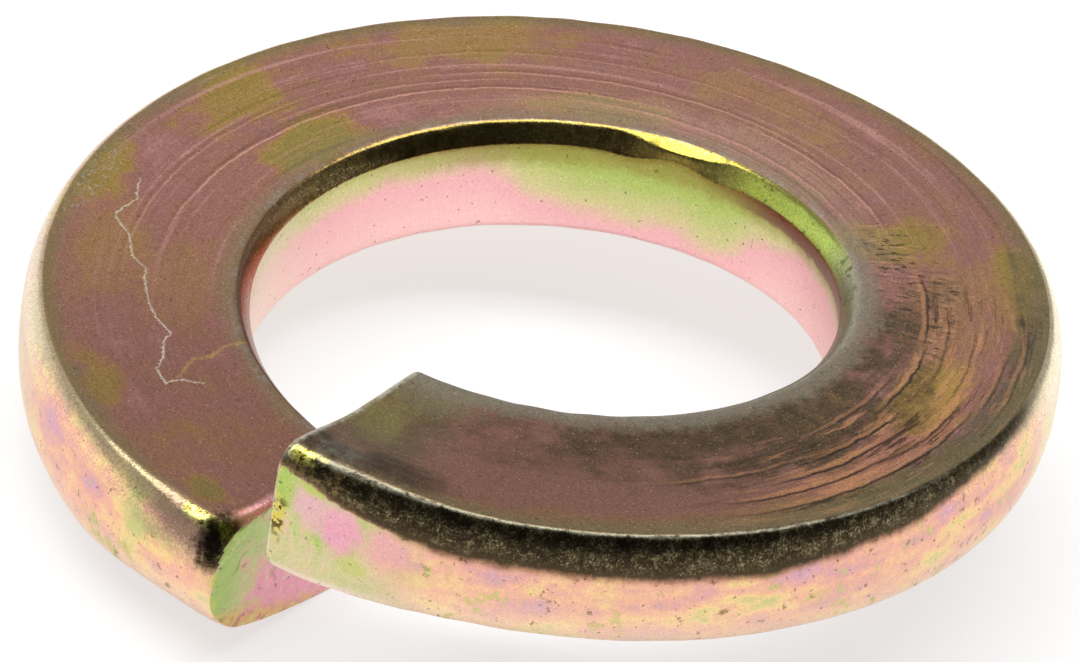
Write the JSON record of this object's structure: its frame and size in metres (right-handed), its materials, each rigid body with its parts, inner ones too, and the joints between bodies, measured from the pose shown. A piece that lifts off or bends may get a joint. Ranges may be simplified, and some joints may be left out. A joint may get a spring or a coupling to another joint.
{
  "type": "spring lock washer",
  "caption": "Split spring lock washer: a flat ring of plated spring steel, sheared through and sprung so that its offset ends grip the nut and the surface under it.",
  "frame": {"origin": "centre of the bolt hole, halfway up the wound ring", "axes": "+Z along the bolt's axis, +Y away from the slit, so the slit faces -Y with the lower end on its -X side"},
  "size_m": [0.018, 0.018, 0.0051],
  "materials": {
    "plated_steel": "yellow chromate over zinc plate, mauve brown with pink, gold and green tints, fine turning marks and light wear"
  },
  "bodies": {
    "root": {"lock_washer": "plated_steel"}
  },
  "joints": []
}
